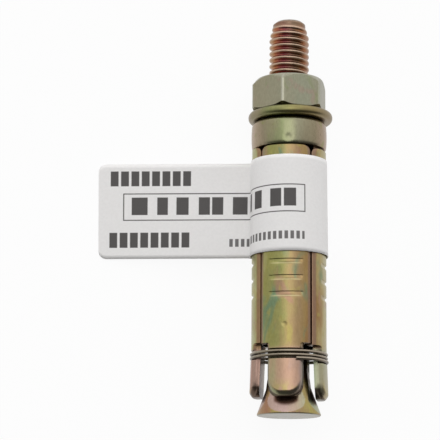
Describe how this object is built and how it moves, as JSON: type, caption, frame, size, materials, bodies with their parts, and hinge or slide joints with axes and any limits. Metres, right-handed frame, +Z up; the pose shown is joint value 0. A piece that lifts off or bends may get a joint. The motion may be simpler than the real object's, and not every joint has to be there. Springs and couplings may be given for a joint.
{
  "type": "shield anchor",
  "caption": "Steel shield anchor lying down: bolt with a scooped cone, nut, washer, ferrule, split shield held by a wire ring, and a bare paper flag label.",
  "frame": {"origin": "centre of the footprint on the floor, lying at rest", "axes": "+Y from the cone towards the stud's tip, +Z up, -X towards the label's flag"},
  "size_m": [0.0434, 0.0758, 0.016],
  "materials": {
    "yellow_zinc": "zinc plated, yellow passivated, satin",
    "brown_zinc": "zinc plated, brown passivated, satin",
    "grey_zinc": "zinc plated, pale passivated, satin",
    "bare_wire": "bright spring wire",
    "paper": "smooth white paper"
  },
  "bodies": {
    "ferrule_set": {"ferrule": "yellow_zinc", "washer": "yellow_zinc", "label": "paper", "retaining_ring": "bare_wire"},
    "nut": {"nut": "grey_zinc"},
    "cone_bolt": {"cone_bolt": "brown_zinc"},
    "segment_front": {"shield_segment_front": "yellow_zinc"},
    "segment_right": {"shield_segment_right": "yellow_zinc"},
    "segment_back": {"shield_segment_back": "yellow_zinc"},
    "segment_left": {"shield_segment_left": "yellow_zinc"}
  },
  "joints": [
    {"name": "bolt_draw", "type": "slide", "parent": "ferrule_set", "child": "cone_bolt", "axis": [0, 0.9999, 0.0136], "range_m": [0, 0.00125]},
    {"name": "nut_turn", "type": "hinge", "parent": "ferrule_set", "child": "nut", "pos_m": [0.01371, 0.02304, 0.00806], "axis": [0, -0.9999, -0.0136], "range_deg": [0, 361]},
    {"name": "segment_front_spread", "type": "hinge", "parent": "ferrule_set", "child": "segment_front", "pos_m": [0.01175, 0.01282, 0.01365], "axis": [-0.9464, 0.0044, -0.323], "range_deg": [0, 0.56421], "deforming": ["retaining_ring"]},
    {"name": "segment_right_spread", "type": "hinge", "parent": "ferrule_set", "child": "segment_right", "pos_m": [0.01943, 0.01287, 0.00988], "axis": [-0.323, -0.0129, 0.9463], "range_deg": [0, 0.56421]},
    {"name": "segment_back_spread", "type": "hinge", "parent": "ferrule_set", "child": "segment_back", "pos_m": [0.01566, 0.01297, 0.0022], "axis": [0.9464, -0.0044, 0.323], "range_deg": [0, 0.56421]},
    {"name": "segment_left_spread", "type": "hinge", "parent": "ferrule_set", "child": "segment_left", "pos_m": [0.00798, 0.01292, 0.00597], "axis": [0.323, 0.0129, -0.9463], "range_deg": [0, 0.56421]}
  ],
  "couplings": [
    {"joint": "nut_turn", "follows": "bolt_draw", "rad_per_m": 5026.5},
    {"joint": "segment_front_spread", "follows": "bolt_draw", "rad_per_m": 7.8465},
    {"joint": "segment_right_spread", "follows": "bolt_draw", "rad_per_m": 7.8465},
    {"joint": "segment_back_spread", "follows": "bolt_draw", "rad_per_m": 7.8465},
    {"joint": "segment_left_spread", "follows": "bolt_draw", "rad_per_m": 7.8465}
  ]
}
